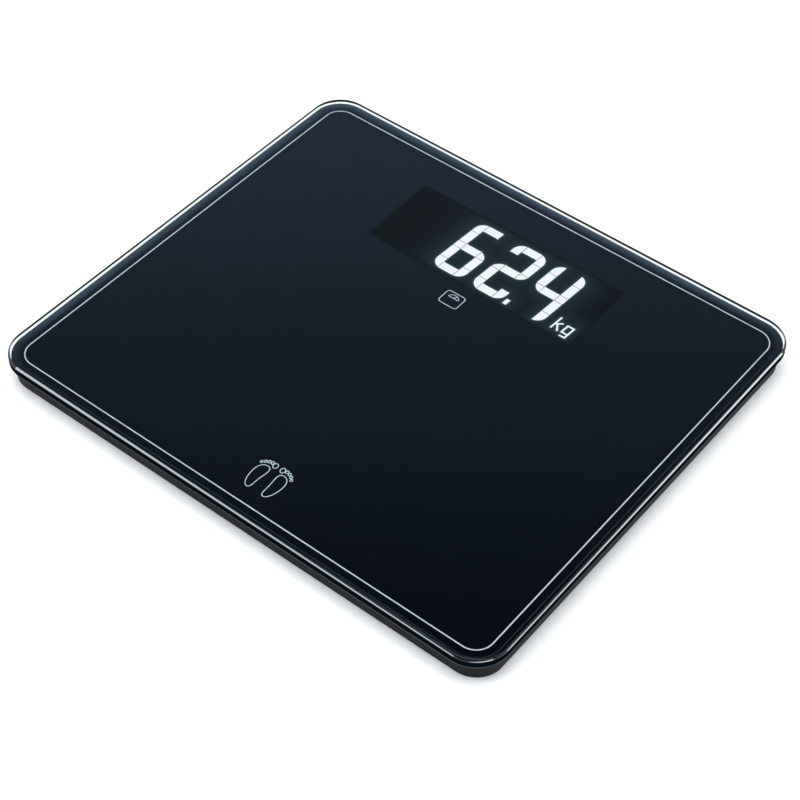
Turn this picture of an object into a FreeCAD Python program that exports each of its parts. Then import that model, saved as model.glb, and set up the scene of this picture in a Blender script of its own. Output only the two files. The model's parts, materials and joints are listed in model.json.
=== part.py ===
import FreeCAD, Part
import math
import os
import re
import Sketcher

# A glass-topped digital bathroom scale. The reader stands at -Y and looks along +Y, the display is
# at the far side, +Z is up, and the origin is on the floor under the middle of the platform.
# All sizes are millimetres. The sheet holds the driving sizes; the levels below follow from them.

SIZES = {
    # glass platform
    "glass_width": 350.0,
    "glass_depth": 307.0,
    "glass_thick": 6.0,
    "glass_corner": 21.0,
    "glass_bevel": 1.2,
    "glass_arris": 0.2,
    # film printed black under the glass, with its thin silver frame line and its window
    "print_thick": 0.3,
    "print_inset": 1.7,
    "line_inset": 9.2,
    "line_width": 0.7,
    "line_corner": 11.5,
    "line_thick": 0.12,
    "window_width": 150.0,
    "window_inset": 62.0,
    # double-sided tape between the tray and the platform
    "tape_thick": 0.7,
    "tape_margin": 1.0,
    "tape_width": 7.0,
    "tape_pad": 36.0,
    # moulded tray
    "stand_gap": 3.0,
    "tray_side": 3.0,
    "tray_inset": 4.0,
    "tray_corner": 17.0,
    "tray_wall": 2.2,
    "tray_floor": 2.2,
    "tray_round": 1.2,
    "roof_gap": 0.2,
    "weld": 0.5,
    "shelf_width": 9.0,
    "shelf_thick": 2.0,
    "rib_thick": 1.4,
    "rib_height": 2.5,
    "rib_front": 62.0,
    "rib_back": 61.0,
    "rib_to_foot": 40.0,
    # feet
    "foot_inset_x": 43.0,
    "foot_inset_y": 43.5,
    "pad_radius": 18.0,
    "pad_thick": 2.5,
    "pad_edge": 0.6,
    "pad_sink": 1.0,
    "cup_rim": 1.0,
    "foot_clear": 0.4,
    "flange_reach": 2.0,
    "flange_thick": 1.4,
    "flange_gap": 0.3,
    "flange_clear": 0.5,
    "post_radius": 4.0,
    "well_wall": 2.2,
    "well_height": 3.3,
    "skirt_reach": 3.5,
    "skirt_depth": 0.6,
    # load cells, their gauges and their holders
    "cell_side": 34.0,
    "cell_corner": 3.0,
    "cell_thick": 1.5,
    "cell_slot": 1.5,
    "tongue_width": 19.0,
    "tongue_length": 17.5,
    "gauge_length": 6.0,
    "gauge_width": 4.0,
    "gauge_thick": 0.15,
    "holder_side": 46.0,
    "holder_corner": 4.0,
    "holder_clear": 0.15,
    "cavity_side": 28.0,
    "cavity_height": 4.0,
    "ear_radius": 4.5,
    "ear_gap": 0.6,
    "ear_thick": 4.0,
    # screws
    "screw_radius": 1.3,
    "screw_clear": 0.2,
    "screw_head": 2.4,
    "screw_head_thick": 1.2,
    "screw_length": 7.0,
    "screw_slot": 0.5,
    "counterbore_clear": 0.3,
    "counterbore_spare": 0.1,
    "boss_wall": 2.2,
    "board_screw_radius": 1.0,
    "board_screw_head": 2.2,
    "board_screw_length": 4.0,
    "board_hole_clear": 0.3,
    # battery bay with three AAA cells, which are a standard size
    "bay_x": 0.0,
    "bay_y": -25.0,
    "bay_wall": 1.5,
    "bay_roof": 1.0,
    "battery_radius": 5.25,
    "battery_length": 44.5,
    "spring_room": 8.7,
    "battery_gap": 0.7,
    "battery_side_gap": 0.55,
    "battery_over_cover": 0.25,
    "battery_roof_gap": 0.15,
    "nub_radius": 1.9,
    "nub_length": 1.0,
    "contact_thick": 0.4,
    "contact_height": 8.0,
    "contact_width": 8.0,
    "spring_wire": 0.35,
    "spring_base": 4.2,
    "spring_tip": 2.4,
    "spring_turns": 4.0,
    "spring_gap": 0.05,
    # battery cover, its hooks and its latch
    "cover_lap_x": 1.0,
    "cover_lap_y": 2.0,
    "cover_thick": 1.6,
    "cover_corner": 2.0,
    "cover_clear": 0.3,
    "seat_clear": 0.1,
    "lip_thick": 1.0,
    "hook_width": 7.0,
    "hook_offset": 11.0,
    "hook_reach": 2.5,
    "hook_thick": 1.0,
    "hook_root": 3.0,
    "hook_clear": 0.1,
    "slot_clear": 0.3,
    "slot_height": 4.5,
    "latch_width": 12.0,
    "latch_arm": 0.8,
    "latch_gap": 0.1,
    "latch_lift": 0.1,
    "latch_rise": 3.0,
    "latch_nose": 1.0,
    "latch_reach": 1.0,
    "grip_length": 16.0,
    "grip_width": 1.4,
    "grip_depth": 0.5,
    "grip_pitch": 3.0,
    # unit button and its switch
    "button_x": 22.0,
    "button_radius": 4.5,
    "button_clear": 0.3,
    "button_sink": 0.3,
    "button_flange": 1.5,
    "button_flange_thick": 0.8,
    "button_gap": 0.2,
    "dish_radius": 8.0,
    "dish_depth": 0.6,
    "switch_side": 6.0,
    "switch_height": 1.6,
    "switch_wall": 0.3,
    "plunger_radius": 1.5,
    "plunger_clear": 0.1,
    "plunger_in": 0.8,
    # main board
    "board_width": 80.0,
    "board_depth": 40.0,
    "board_thick": 1.6,
    "board_gap": 13.0,
    "board_lift": 3.3,
    "board_edge": 4.0,
    "post_wall": 2.0,
    "chip_radius": 6.0,
    "chip_slope": 0.6,
    "chip_height": 1.4,
    "chip_x": -4.0,
    "chip_back": 2.0,
    "can_radius": 2.5,
    "can_height": 4.2,
    "can_pitch": 7.0,
    "can_x": 14.0,
    "can_back": -8.0,
    "crystal_x": -20.0,
    "crystal_back": -6.0,
    "crystal_length": 8.0,
    "crystal_width": 3.2,
    "crystal_height": 3.0,
    "plug_depth": 6.0,
    "plug_width": 7.0,
    "plug_height": 4.2,
    "plug_pitch": 18.0,
    "power_plug_width": 5.0,
    "power_plug_pitch": 52.0,
    # ribbon between the boards
    "ribbon_width": 20.0,
    "ribbon_thick": 0.5,
    "ribbon_plug_width": 24.0,
    "ribbon_plug_depth": 5.0,
    "ribbon_plug_height": 2.5,
    "ribbon_hump": 2.9,
    # display: board, chips, reflector, lenses, gasket
    "gasket_thick": 0.5,
    "gasket_width": 3.0,
    "reflector_height": 5.0,
    "reflector_margin": 2.0,
    "lens_thick": 1.2,
    "display_side": 6.0,
    "display_front": 6.0,
    "display_hole_edge": 3.0,
    "led_length": 0.9,
    "led_width": 0.6,
    "led_height": 0.5,
    "digit_width": 22.8,
    "digit_height": 48.2,
    "digit_pitch": 29.0,
    "digit_left": -58.9,
    "digit_base": 3.5,
    "digit_over": 5.0,
    "digit_slant": 3.4,
    "digit_corner": 7.0,
    "digit_inner": 1.2,
    "stroke": 5.8,
    "side_cut": 1.0,
    "segment_gap": 0.35,
    "lens_clear": 0.05,
    "corner_reach": 9.6,
    "point_width": 2.6,
    "point_height": 4.6,
    "point_gap": 2.0,
    "unit_stroke": 1.1,
    "unit_height": 11.0,
    "unit_width": 5.4,
    "unit_gap": 1.6,
    "unit_left": 57.2,
    "unit_base": 1.6,
    # wires
    "cable_radius": 1.0,
    "cable_clear": 0.2,
    "lead_radius": 0.6,
    "clip_thick": 2.4,
    "clip_width": 5.0,
    "clip_over": 1.4,
}

DERIVED = {
    # levels above the floor
    "floor_top": "stand_gap + tray_floor",
    "tray_top": "roof_top + roof_gap - tape_thick",
    "shelf_bottom": "tray_top - shelf_thick",
    "print_bottom": "tray_top + tape_thick",
    "glass_bottom": "print_bottom + print_thick",
    "cell_bottom": "floor_top + well_height",
    "cell_top": "cell_bottom + cell_thick",
    "cavity_top": "cell_top + cavity_height",
    "flange_bottom": "floor_top + flange_gap",
    "board_bottom": "floor_top + board_lift",
    "board_top": "board_bottom + board_thick",
    "wire_level": "board_top + plug_height / 2",
    "battery_level": "stand_gap + cover_thick + battery_over_cover + battery_radius",
    "roof_bottom": "battery_level + battery_radius + battery_roof_gap",
    "roof_top": "roof_bottom + bay_roof",
    "reflector_top": "print_bottom - gasket_thick",
    "display_top": "reflector_top - reflector_height",
    "display_bottom": "display_top - board_thick",
    # tray
    "tray_height": "tray_top - stand_gap",
    "tray_width": "glass_width - 2 * tray_side",
    "tray_depth": "glass_depth - 2 * tray_inset",
    "inner_width": "tray_width - 2 * tray_wall",
    "inner_depth": "tray_depth - 2 * tray_wall",
    "inner_corner": "tray_corner - tray_wall",
    "mouth_width": "tray_width - 2 * shelf_width",
    "mouth_depth": "tray_depth - 2 * shelf_width",
    "mouth_corner": "max(tray_corner - shelf_width; 1)",
    # feet
    "foot_x": "glass_width / 2 - foot_inset_x",
    "foot_y": "glass_depth / 2 - foot_inset_y",
    "cup_radius": "pad_radius + cup_rim",
    "flange_radius": "cup_radius + flange_reach",
    "well_radius": "flange_radius + flange_clear",
    "boss_radius": "screw_radius + screw_clear + boss_wall",
    "ear_reach": "well_radius + well_wall + boss_radius + ear_gap",
    "rib_side": "foot_x - rib_to_foot",
    "cup_bottom": "pad_thick - pad_sink",
    "counterbore": "screw_head_thick + counterbore_spare",
    # battery bay
    "bay_width": "6 * battery_radius + 2 * battery_gap + 2 * battery_side_gap",
    "bay_length": "battery_length + spring_room + 2 * contact_thick",
    "cover_length": "bay_length + 2 * cover_lap_x",
    "cover_width": "bay_width + 2 * cover_lap_y",
    "battery_pitch": "2 * battery_radius + battery_gap",
    "contact_face": "bay_length / 2 - contact_thick",
    "seat_length": "cover_length + 2 * cover_clear",
    "seat_width": "cover_width + 2 * cover_clear",
    "seat_top": "stand_gap + cover_thick + seat_clear",
    "hook_bottom": "stand_gap + lip_thick + hook_clear",
    "hinge_x": "bay_x - seat_length / 2",
    # boards and display
    "board_y": "bay_y + bay_width / 2 + bay_wall + board_gap + board_depth / 2",
    "button_y": "board_y",
    "button_flange_bottom": "floor_top + button_gap",
    "button_top": "button_flange_bottom + button_flange_thick",
    "switch_bottom": "board_bottom - switch_height",
    "window_y": "glass_depth / 2 - window_inset",
    "window_depth": "digit_base + digit_height + digit_over",
    "reflector_width": "window_width + 2 * reflector_margin",
    "reflector_depth": "window_depth + 2 * reflector_margin",
    "display_width": "reflector_width + 2 * display_side",
    "display_depth": "reflector_depth + display_front",
    "display_y": "window_y - display_front / 2",
    "display_hole_x": "display_width / 2 - display_hole_edge",
    "display_hole_y": "window_depth / 2 - display_hole_edge",
    "ribbon_start": "board_y + board_depth / 2 - 1",
    "ribbon_end": "display_y - display_depth / 2 + 1",
}

CORNERS = {
    "front_left": (-1, -1),
    "front_right": (1, -1),
    "rear_left": (-1, 1),
    "rear_right": (1, 1),
}

doc = FreeCAD.newDocument("BathroomScale")
sheet = doc.addObject("Spreadsheet::Sheet", "Sizes")
nodes = []


def fill_sheet():
    for row, (name, size) in enumerate(SIZES.items(), 1):
        sheet.set(f"A{row}", name.replace("_", " "))
        sheet.set(f"B{row}", str(size))
        sheet.setAlias(f"B{row}", name)
    doc.recompute()


# Formulas are written with the plain names above; this spells them out for the expression engine.
def formula(text):
    def spell(match):
        word = match[0]
        if word in DERIVED:
            return "(" + formula(DERIVED[word]) + ")"
        return "Sizes." + word if word in SIZES else word
    return re.sub(r"[a-z][a-z_]*", spell, str(text))


def number(text):
    return float(sheet.evalExpression(formula(text)))


def bind(thing, formulas):
    for place, text in formulas.items():
        thing.setExpression(place, formula(text))


def add_node(thing, name):
    thing.Label = name
    nodes.append(thing)
    return thing


# ---- sketches and bodies ----

def new_body(name):
    return doc.addObject("PartDesign::Body", name)


def sketch_on(body, role, level="0"):
    sketch = body.newObject("Sketcher::SketchObject", body.Name + "Sketch")
    plane = next(part for part in body.Origin.OriginFeatures if part.Role == role)
    sketch.AttachmentSupport = [(plane, "")]
    sketch.MapMode = "FlatFace"
    bind(sketch, {"AttachmentOffset.Base.z": level})
    return sketch


def measure(sketch, kind, geometry, end, text):
    held = sketch.addConstraint(Sketcher.Constraint(kind, -1, 1, geometry, end, number(text)))
    sketch.setExpression(f"Constraints[{held}]", formula(text))


def hold(sketch, geometry, end, x, y):
    measure(sketch, "DistanceX", geometry, end, x)
    measure(sketch, "DistanceY", geometry, end, y)


def set_radius(sketch, geometry, text):
    held = sketch.addConstraint(Sketcher.Constraint("Radius", geometry, number(text)))
    sketch.setExpression(f"Constraints[{held}]", formula(text))


def draw_outline(sketch, points):
    first = sketch.GeometryCount
    spots = [FreeCAD.Vector(number(x), number(y), 0) for x, y in points]
    for i, spot in enumerate(spots):
        sketch.addGeometry(Part.LineSegment(spot, spots[(i + 1) % len(spots)]))
    for i, (x, y) in enumerate(points):
        before = first + (i - 1) % len(points)
        sketch.addConstraint(Sketcher.Constraint("Coincident", before, 2, first + i, 1))
        hold(sketch, first + i, 1, x, y)


def draw_rectangle(sketch, width, depth, x="0", y="0"):
    left, right = f"({x}) - ({width}) / 2", f"({x}) + ({width}) / 2"
    front, back = f"({y}) - ({depth}) / 2", f"({y}) + ({depth}) / 2"
    draw_outline(sketch, [(left, front), (right, front), (right, back), (left, back)])


def draw_circle(sketch, radius, x="0", y="0"):
    centre = FreeCAD.Vector(number(x), number(y), 0)
    ring = sketch.addGeometry(Part.Circle(centre, FreeCAD.Vector(0, 0, 1), number(radius)))
    set_radius(sketch, ring, radius)
    hold(sketch, ring, 3, x, y)


# Sides are drawn in turn from the front one, each followed by the round corner after it.
def draw_rounded(sketch, width, depth, corner, x="0", y="0"):
    first = sketch.GeometryCount
    reach_x, reach_y, round_by = number(width) / 2, number(depth) / 2, number(corner)
    centre = FreeCAD.Vector(number(x), number(y), 0)
    up = FreeCAD.Vector(0, 0, 1)
    spots = []
    for side, (sign_x, sign_y) in enumerate(((1, -1), (1, 1), (-1, 1), (-1, -1))):
        pivot = centre + FreeCAD.Vector(sign_x * (reach_x - round_by), sign_y * (reach_y - round_by), 0)
        turn = math.radians(90 * (side - 1))
        arc = Part.ArcOfCircle(Part.Circle(pivot, up, round_by), turn, turn + math.pi / 2)
        spots.append(arc)
    for side, arc in enumerate(spots):
        sketch.addGeometry(Part.LineSegment(spots[side - 1].EndPoint, arc.StartPoint))
        sketch.addGeometry(arc)
    for step in range(8):
        after = first + (step + 1) % 8
        sketch.addConstraint(Sketcher.Constraint("Tangent", first + step, 2, after, 1))
    for side, kind in enumerate(("Horizontal", "Vertical") * 2):
        sketch.addConstraint(Sketcher.Constraint(kind, first + 2 * side))
    for side in range(1, 4):
        sketch.addConstraint(Sketcher.Constraint("Equal", first + 1, first + 1 + 2 * side))
    set_radius(sketch, first + 1, corner)
    measure(sketch, "DistanceY", first, 1, f"({y}) - ({depth}) / 2")
    measure(sketch, "DistanceX", first + 2, 1, f"({x}) + ({width}) / 2")
    measure(sketch, "DistanceY", first + 4, 1, f"({y}) + ({depth}) / 2")
    measure(sketch, "DistanceX", first + 6, 1, f"({x}) - ({width}) / 2")


def pad(body, sketch, length):
    feature = body.newObject("PartDesign::Pad", body.Name + "Pad")
    feature.Profile = sketch
    bind(feature, {"Length": length})
    return feature


# A pocket cuts down from its sketch.
def pocket(body, sketch, length):
    feature = body.newObject("PartDesign::Pocket", body.Name + "Pocket")
    feature.Profile = sketch
    bind(feature, {"Length": length})
    return feature


# The profile is drawn on the XZ plane, and turns about the body's own Z.
def turned(name, points):
    body = new_body(name)
    sketch = sketch_on(body, "XZ_Plane")
    draw_outline(sketch, points)
    feature = body.newObject("PartDesign::Revolution", name + "Turn")
    feature.Profile = sketch
    feature.ReferenceAxis = (sketch, ["V_Axis"])
    feature.Angle = 360
    return body


def place(thing, x="0", y="0", z="0"):
    bind(thing, {"Placement.Base.x": x, "Placement.Base.y": y, "Placement.Base.z": z})
    return thing


def edges_at(feature, level):
    doc.recompute()
    height = number(level)
    return [f"Edge{i}" for i, edge in enumerate(feature.Shape.Edges, 1)
            if all(abs(end.Z - height) < 1e-6 for end in edge.Vertexes)]


def dress(body, kind, feature, level, prop, size):
    dressed = body.newObject("PartDesign::" + kind, body.Name + kind)
    dressed.Base = (feature, edges_at(feature, level))
    bind(dressed, {prop: size})
    return dressed


# ---- primitives and booleans ----

def box(name, size, centre=("0", "0"), bottom="0"):
    thing = doc.addObject("Part::Box", name)
    bind(thing, {"Length": size[0], "Width": size[1], "Height": size[2]})
    return place(thing, f"({centre[0]}) - ({size[0]}) / 2", f"({centre[1]}) - ({size[1]}) / 2", bottom)


def rod(name, radius, length, centre=("0", "0"), bottom="0"):
    thing = doc.addObject("Part::Cylinder", name)
    bind(thing, {"Radius": radius, "Height": length})
    return place(thing, centre[0], centre[1], bottom)


# A rod that lies along +X from its start.
def lying_rod(name, radius, length, start):
    thing = doc.addObject("Part::Cylinder", name)
    thing.Placement.Rotation = FreeCAD.Rotation(FreeCAD.Vector(0, 1, 0), 90)
    bind(thing, {"Radius": radius, "Height": length})
    return place(thing, *start)


def join(name, pieces):
    thing = doc.addObject("Part::MultiFuse", name)
    thing.Shapes = pieces
    return thing


def cut(name, base, tool):
    thing = doc.addObject("Part::Cut", name)
    thing.Base = base
    thing.Tool = tool
    return thing


def shaped(name, shape):
    thing = doc.addObject("Part::Feature", name)
    thing.Shape = shape
    thing.Placement = FreeCAD.Placement()
    return thing


# ---- platform ----

def make_glass():
    body = new_body("glass_top")
    sketch = sketch_on(body, "XY_Plane", "glass_bottom")
    draw_rounded(sketch, "glass_width", "glass_depth", "glass_corner")
    slab = pad(body, sketch, "glass_thick")
    bevelled = dress(body, "Chamfer", slab, "glass_bottom + glass_thick", "Size", "glass_bevel")
    dress(body, "Chamfer", bevelled, "glass_bottom", "Size", "glass_arris")
    add_node(body, "glass_top")


def draw_line_frame(sketch):
    draw_rounded(sketch, "glass_width - 2 * line_inset", "glass_depth - 2 * line_inset", "line_corner")
    inset = "2 * (line_inset + line_width)"
    draw_rounded(sketch, f"glass_width - {inset}", f"glass_depth - {inset}", "line_corner - line_width")


def make_prints():
    body = new_body("black_backing_print")
    sketch = sketch_on(body, "XY_Plane", "print_bottom")
    draw_rounded(sketch, "glass_width - 2 * print_inset", "glass_depth - 2 * print_inset",
                 "glass_corner - print_inset")
    draw_rectangle(sketch, "window_width", "window_depth", "0", "window_y")
    pad(body, sketch, "print_thick")
    groove = sketch_on(body, "XY_Plane", "glass_bottom")
    draw_line_frame(groove)
    pocket(body, groove, "line_thick")
    add_node(body, "black_backing_print")

    line = new_body("silver_border_print")
    sketch = sketch_on(line, "XY_Plane", "glass_bottom - line_thick")
    draw_line_frame(sketch)
    pad(line, sketch, "line_thick")
    add_node(line, "silver_border_print")

    window = box("smoked_window", ("window_width", "window_depth", "print_thick"),
                 ("0", "window_y"), "print_bottom")
    add_node(window, "smoked_window")


def make_tape():
    ring = new_body("TapeRing")
    sketch = sketch_on(ring, "XY_Plane", "tray_top")
    draw_rounded(sketch, "tray_width - 2 * tape_margin", "tray_depth - 2 * tape_margin",
                 "tray_corner - tape_margin")
    inner = "2 * (tape_margin + tape_width)"
    draw_rounded(sketch, f"tray_width - {inner}", f"tray_depth - {inner}",
                 "tray_corner - tape_margin - tape_width")
    pad(ring, sketch, "tape_thick")
    pads = [box("TapePad", ("tape_pad", "tape_pad", "tape_thick"),
                (f"{side_x} * foot_x", f"{side_y} * foot_y"), "tray_top")
            for side_x, side_y in CORNERS.values()]
    add_node(join("MountingTape", [ring, *pads]), "mounting_tape")


# ---- tray ----

def foot_spots():
    return [(f"{side_x} * foot_x", f"{side_y} * foot_y") for side_x, side_y in CORNERS.values()]


def ear_spots():
    return [(f"{x} + {side} * ear_reach", y) for x, y in foot_spots() for side in (-1, 1)]


def board_screw_spots():
    inset_x, inset_y = "(board_width / 2 - board_edge)", "(board_depth / 2 - board_edge)"
    return [(f"{side_x} * {inset_x}", f"board_y + {side_y} * {inset_y}")
            for side_x, side_y in CORNERS.values()]


def display_screw_spots():
    return [(f"{side_x} * display_hole_x", f"window_y + {side_y} * display_hole_y")
            for side_x, side_y in CORNERS.values()]


def draw_circles(sketch, radius, spots):
    for x, y in spots:
        draw_circle(sketch, radius, x, y)


def make_tray_shell(body):
    sketch = sketch_on(body, "XY_Plane", "stand_gap")
    draw_rounded(sketch, "tray_width", "tray_depth", "tray_corner")
    block = pad(body, sketch, "tray_height")
    dress(body, "Fillet", block, "stand_gap", "Radius", "tray_round")

    mouth = sketch_on(body, "XY_Plane", "tray_top")
    draw_rounded(mouth, "mouth_width", "mouth_depth", "mouth_corner")
    pocket(body, mouth, "tray_height - tray_floor")

    undercut = sketch_on(body, "XY_Plane", "shelf_bottom")
    draw_rounded(undercut, "inner_width", "inner_depth", "inner_corner")
    draw_rounded(undercut, "mouth_width - weld", "mouth_depth - weld", "mouth_corner")
    pocket(body, undercut, "tray_height - tray_floor - shelf_thick")


def make_ribs(body):
    along = sketch_on(body, "XY_Plane", "floor_top")
    for y in ("-rib_front", "rib_back"):
        draw_rectangle(along, "inner_width + weld", "rib_thick", "0", y)
    pad(body, along, "rib_height")
    across = sketch_on(body, "XY_Plane", "floor_top")
    for side in (-1, 1):
        draw_rectangle(across, "rib_thick", "inner_depth + weld", f"{side} * rib_side")
    pad(body, across, "rib_height")


def make_wells(body):
    rings = sketch_on(body, "XY_Plane", "floor_top")
    draw_circles(rings, "well_radius + well_wall", foot_spots())
    draw_circles(rings, "well_radius", foot_spots())
    pad(body, rings, "well_height")
    holes = sketch_on(body, "XY_Plane", "floor_top")
    draw_circles(holes, "cup_radius + foot_clear", foot_spots())
    pocket(body, holes, "tray_floor + 1")
    skirts = sketch_on(body, "XY_Plane", "stand_gap + skirt_depth")
    draw_circles(skirts, "cup_radius + foot_clear + skirt_reach", foot_spots())
    pocket(body, skirts, "skirt_depth + 1")


def make_bosses(body):
    bosses = sketch_on(body, "XY_Plane", "floor_top")
    draw_circles(bosses, "boss_radius", ear_spots())
    pad(body, bosses, "well_height")
    holes = sketch_on(body, "XY_Plane", "cell_bottom")
    draw_circles(holes, "screw_radius + screw_clear", ear_spots())
    pocket(body, holes, "cell_bottom - stand_gap + 1")
    heads = sketch_on(body, "XY_Plane", "stand_gap + counterbore")
    draw_circles(heads, "screw_head + counterbore_clear", ear_spots())
    pocket(body, heads, "counterbore + 1")


def make_posts(body, spots, top):
    posts = sketch_on(body, "XY_Plane", "floor_top")
    draw_circles(posts, "board_screw_radius + post_wall", spots)
    pad(body, posts, f"{top} - floor_top")
    pilots = sketch_on(body, "XY_Plane", top)
    draw_circles(pilots, "board_screw_radius", spots)
    pocket(body, pilots, f"min(board_screw_length; {top} - floor_top)")


def make_bay(body):
    outside = sketch_on(body, "XY_Plane", "floor_top")
    draw_rectangle(outside, "bay_length + 2 * bay_wall", "bay_width + 2 * bay_wall", "bay_x", "bay_y")
    pad(body, outside, "roof_top - floor_top")
    inside = sketch_on(body, "XY_Plane", "roof_bottom")
    draw_rectangle(inside, "bay_length", "bay_width", "bay_x", "bay_y")
    pocket(body, inside, "roof_bottom")
    seat = sketch_on(body, "XY_Plane", "seat_top")
    draw_rounded(seat, "seat_length", "seat_width", "cover_corner + cover_clear", "bay_x", "bay_y")
    pocket(body, seat, "seat_top")

    # Slots over the lip: two for the hooks at the hinge side, one for the latch at the other.
    slots = sketch_on(body, "XY_Plane", "stand_gap + lip_thick + slot_height")
    depth = "(hook_reach + slot_clear + seat_length / 2 - bay_length / 2 + weld)"
    middle = f"(seat_length / 2 + hook_reach + slot_clear - {depth} / 2)"
    for side in (-1, 1):
        draw_rectangle(slots, depth, "hook_width + 2 * slot_clear",
                       f"bay_x - {middle}", f"bay_y + {side} * hook_offset")
    draw_rectangle(slots, depth, "latch_width + 2 * slot_clear", f"bay_x + {middle}", "bay_y")
    pocket(body, slots, "slot_height")


def make_button_hole(body):
    dish = sketch_on(body, "XY_Plane", "stand_gap + dish_depth")
    draw_circle(dish, "dish_radius", "button_x", "button_y")
    pocket(body, dish, "dish_depth + 1")
    hole = sketch_on(body, "XY_Plane", "floor_top")
    draw_circle(hole, "button_radius + button_clear", "button_x", "button_y")
    pocket(body, hole, "tray_floor + 1")


def make_tray():
    body = new_body("base_tray")
    make_tray_shell(body)
    make_ribs(body)
    make_wells(body)
    make_bosses(body)
    make_posts(body, board_screw_spots(), "board_bottom")
    make_posts(body, display_screw_spots(), "display_bottom")
    make_bay(body)
    make_button_hole(body)
    add_node(body, "base_tray")


# ---- feet and load cells ----

def make_foot(corner, x, y):
    cup = turned("foot_cup_" + corner, [
        ("0", "pad_thick"),
        ("pad_radius", "pad_thick"),
        ("pad_radius", "cup_bottom"),
        ("cup_radius", "cup_bottom"),
        ("cup_radius", "flange_bottom"),
        ("flange_radius", "flange_bottom"),
        ("flange_radius", "flange_bottom + flange_thick"),
        ("post_radius", "flange_bottom + flange_thick"),
        ("post_radius", "cell_bottom"),
        ("0", "cell_bottom"),
    ])
    add_node(place(cup, x, y), "foot_cup_" + corner)
    pad_body = turned("rubber_pad_" + corner, [
        ("0", "0"),
        ("pad_radius - pad_edge", "0"),
        ("pad_radius", "pad_edge"),
        ("pad_radius", "pad_thick"),
        ("0", "pad_thick"),
    ])
    add_node(place(pad_body, x, y), "rubber_pad_" + corner)


# The slot leaves a tongue in the plate, which the foot's post bends upwards.
def make_load_cell(corner, x, y):
    body = new_body("load_cell_" + corner)
    sketch = sketch_on(body, "XY_Plane", "cell_bottom")
    draw_rounded(sketch, "cell_side", "cell_side", "cell_corner")
    half, front, back = "tongue_width / 2", "tongue_length / 2", "(tongue_length / 2 - cell_slot)"
    outer = f"({half} + cell_slot)"
    draw_outline(sketch, [
        (f"-{outer}", back),
        (f"-{outer}", f"-{front} - cell_slot"),
        (outer, f"-{front} - cell_slot"),
        (outer, back),
        (half, back),
        (half, f"-{front}"),
        (f"-{half}", f"-{front}"),
        (f"-{half}", back),
    ])
    pad(body, sketch, "cell_thick")
    add_node(place(body, x, y), "load_cell_" + corner)
    gauge = box("strain_gauge_" + corner, ("gauge_length", "gauge_width", "gauge_thick"),
                (x, f"{y} + tongue_length / 2 - cell_slot"), "cell_top")
    add_node(gauge, "strain_gauge_" + corner)


# The cable leaves a holder towards the middle of the scale, and the ears stand to its sides.
def make_holder(corner, x, y, side_y):
    body = new_body("HolderBody")
    block = sketch_on(body, "XY_Plane", "cell_bottom")
    draw_rounded(block, "holder_side", "holder_side", "holder_corner")
    pad(body, block, "tray_top - cell_bottom")
    ears = sketch_on(body, "XY_Plane", "cell_bottom")
    draw_rounded(ears, "2 * (ear_reach + ear_radius)", "2 * ear_radius", "ear_radius - 0.01")
    pad(body, ears, "ear_thick")
    cavity = sketch_on(body, "XY_Plane", "cavity_top")
    draw_rounded(cavity, "cavity_side", "cavity_side", "cell_corner")
    pocket(body, cavity, "cavity_top - cell_bottom + 1")
    seat = sketch_on(body, "XY_Plane", "cell_top")
    draw_rounded(seat, "cell_side + 2 * holder_clear", "cell_side + 2 * holder_clear", "cell_corner")
    pocket(body, seat, "cell_thick + 1")
    pilots = sketch_on(body, "XY_Plane", "stand_gap + counterbore + screw_length - screw_head_thick")
    for side in (-1, 1):
        draw_circle(pilots, "screw_radius", f"{side} * ear_reach", "0")
    pocket(body, pilots, "screw_length")
    place(body, x, y)
    bore = doc.addObject("Part::Cylinder", "CableExit")
    bore.Placement.Rotation = FreeCAD.Rotation(FreeCAD.Vector(1, 0, 0), 90 * side_y)
    bind(bore, {"Radius": "cable_radius + cable_clear", "Height": "holder_side / 2 + 1"})
    place(bore, x, y, "wire_level")
    add_node(cut("Holder", body, bore), "load_cell_holder_" + corner)


def make_corner(corner):
    side_x, side_y = CORNERS[corner]
    x, y = f"{side_x} * foot_x", f"{side_y} * foot_y"
    make_foot(corner, x, y)
    make_load_cell(corner, x, y)
    make_holder(corner, x, y, side_y)


# ---- screws ----

def screw_up(x, y):
    head = rod("ScrewHead", "screw_head", "screw_head_thick", (x, y),
               "stand_gap + counterbore - screw_head_thick")
    shank = rod("ScrewShank", "screw_radius", "screw_length - screw_head_thick", (x, y),
                "stand_gap + counterbore")
    recess = box("ScrewSlot", ("2 * screw_head", "screw_slot", "screw_slot"), (x, y),
                 "stand_gap + counterbore - screw_head_thick")
    turned_recess = box("ScrewSlotAcross", ("screw_slot", "2 * screw_head", "screw_slot"), (x, y),
                        "stand_gap + counterbore - screw_head_thick")
    whole = join("Screw", [head, shank])
    return cut("CrossScrew", whole, join("Cross", [recess, turned_recess]))


def screw_down(x, y, top):
    length = f"min(board_screw_length; {top} - board_thick - floor_top) + board_thick"
    head = rod("ScrewHead", "board_screw_head", "screw_head_thick", (x, y), top)
    shank = rod("ScrewShank", "board_screw_radius", length, (x, y), f"{top} - ({length})")
    return join("BoardScrew", [head, shank])


def make_screws():
    add_node(join("HolderScrews", [screw_up(x, y) for x, y in ear_spots()]), "holder_screws")
    board = [screw_down(x, y, "board_top") for x, y in board_screw_spots()]
    display = [screw_down(x, y, "display_top") for x, y in display_screw_spots()]
    add_node(join("BoardScrews", board + display), "board_screws")


# ---- batteries, their contacts and their cover ----

# The cells lie along X and face opposite ways in turn: (place across the bay, way the plus end faces).
CELLS = {"rear": (1, 1), "middle": (0, -1), "front": (-1, 1)}
SPRING_STEPS = 6


def cell_y(row):
    return f"(bay_y + {row} * battery_pitch)"


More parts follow.
